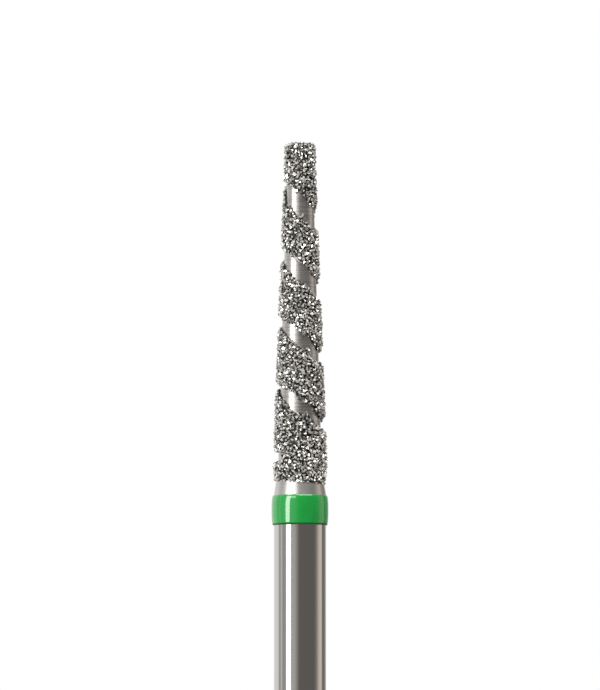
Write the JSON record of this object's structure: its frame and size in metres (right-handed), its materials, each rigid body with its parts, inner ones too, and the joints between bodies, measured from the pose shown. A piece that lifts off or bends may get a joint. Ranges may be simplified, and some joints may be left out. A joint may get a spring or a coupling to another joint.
{
  "type": "dental bur",
  "caption": "Friction-grip dental bur: tapered flat-end head of coarse diamond grit with a bare left-hand spiral strip, green colour ring and plain shank.",
  "frame": {"origin": "centre of the shank's end face", "axes": "+Z along the bur's axis, from the shank's end towards the head; the front faces -Y"},
  "size_m": [0.0018, 0.0018, 0.022],
  "materials": {
    "blank_steel": "turned and polished stainless steel, bright, with fine lines round the axis",
    "diamond_grit": "coarse diamond grains in plated nickel, rough and sparkling, from white to nearly black",
    "green_ring": "glossy green lacquer"
  },
  "bodies": {
    "root": {"steel_blank": "blank_steel", "diamond_coating": "diamond_grit", "colour_ring": "green_ring"}
  },
  "joints": []
}
